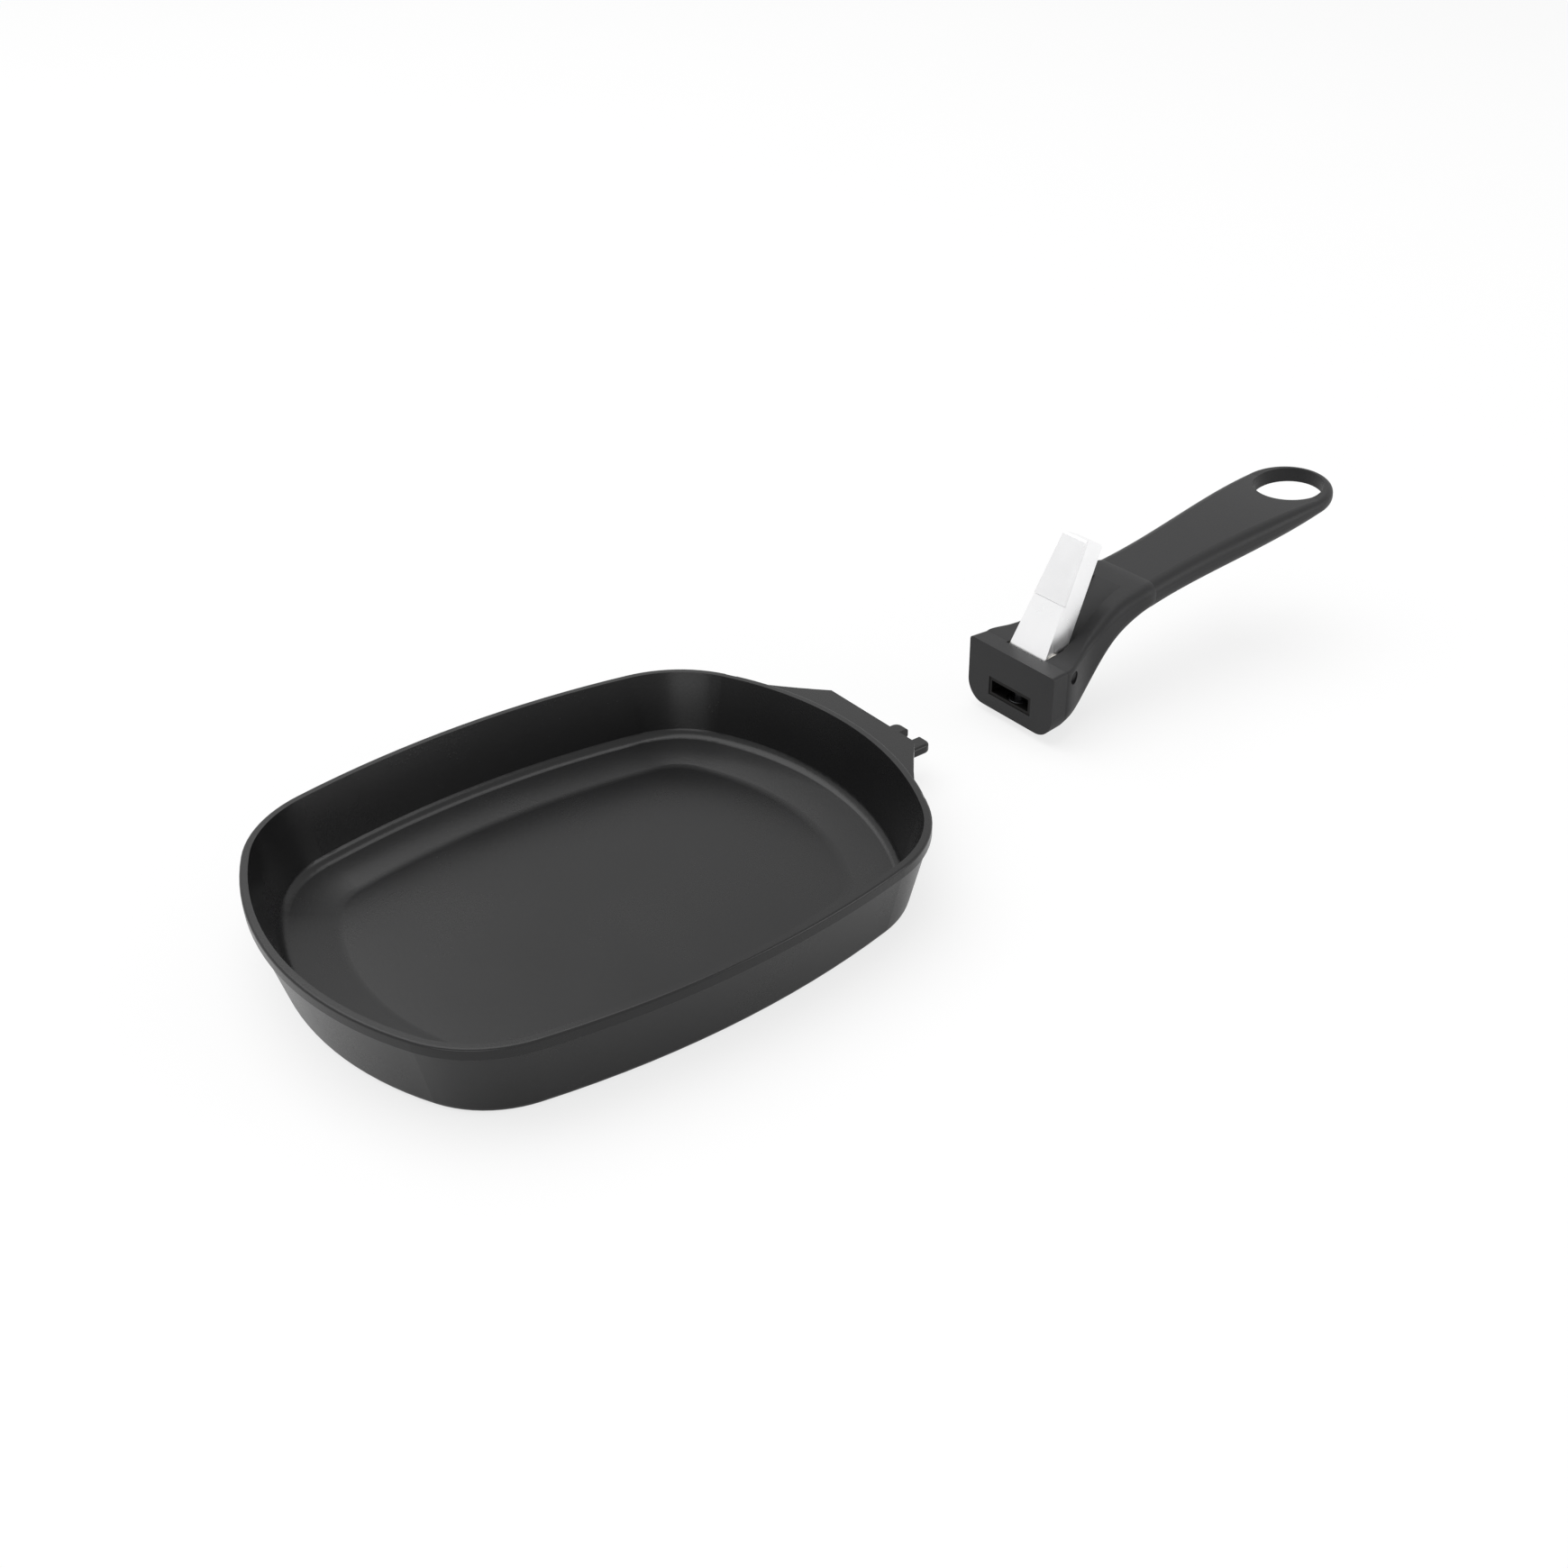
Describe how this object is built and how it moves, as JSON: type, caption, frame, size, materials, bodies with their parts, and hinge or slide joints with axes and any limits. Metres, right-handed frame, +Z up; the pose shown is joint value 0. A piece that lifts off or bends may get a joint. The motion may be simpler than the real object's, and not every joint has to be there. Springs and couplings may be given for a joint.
{
  "type": "frying pan with detachable handle",
  "caption": "Oblong cast frying pan with a forked lug, and a slide-on moulded handle with a steel clamping lever and a hanging ring.",
  "frame": {"origin": "centre of the pan's flat base", "axes": "+X from the pan's centre towards the handle, +Z up"},
  "size_m": [0.5534, 0.2036, 0.0837],
  "materials": {
    "pan_coating": "satin black non-stick coating on cast aluminium",
    "handle_moulding": "satin black phenolic moulding",
    "socket_steel": "darkened pressed steel",
    "bush_brass": "turned brass",
    "pin_steel": "ground steel",
    "cap_plastic": "satin black plastic",
    "washer_plastic": "natural nylon",
    "lever_steel": "bright satin steel",
    "thumb_plate": "bead-blasted light metal",
    "rivet_steel": "bright steel",
    "bolt_steel": "turned steel"
  },
  "bodies": {
    "pan": {"pan_body": "pan_coating"},
    "handle": {"handle_shell": "handle_moulding", "socket_frame": "socket_steel", "bolt_bush": "bush_brass", "lever_pin": "pin_steel", "pin_caps": "cap_plastic", "hub_washers": "washer_plastic"},
    "lever": {"lever_frame": "lever_steel", "thumb_pad": "thumb_plate", "pad_rivets": "rivet_steel"},
    "draw_bolt": {"draw_bolt": "bolt_steel", "link_pin": "pin_steel"}
  },
  "joints": [
    {"name": "handle_slide", "type": "slide", "parent": "pan", "child": "handle", "axis": [1, 0, 0], "range_m": [-0.0805, 0.02]},
    {"name": "lever_hinge", "type": "hinge", "parent": "handle", "child": "lever", "pos_m": [0.2355, 0, 0.0304], "axis": [0, 1, 0], "range_deg": [0, 27]},
    {"name": "draw_slide", "type": "slide", "parent": "handle", "child": "draw_bolt", "axis": [0, 0, 1], "range_m": [0, 0.00388]}
  ],
  "couplings": [
    {"joint": "draw_slide", "follows": "lever_hinge", "m_per_rad": 0.0082336}
  ]
}
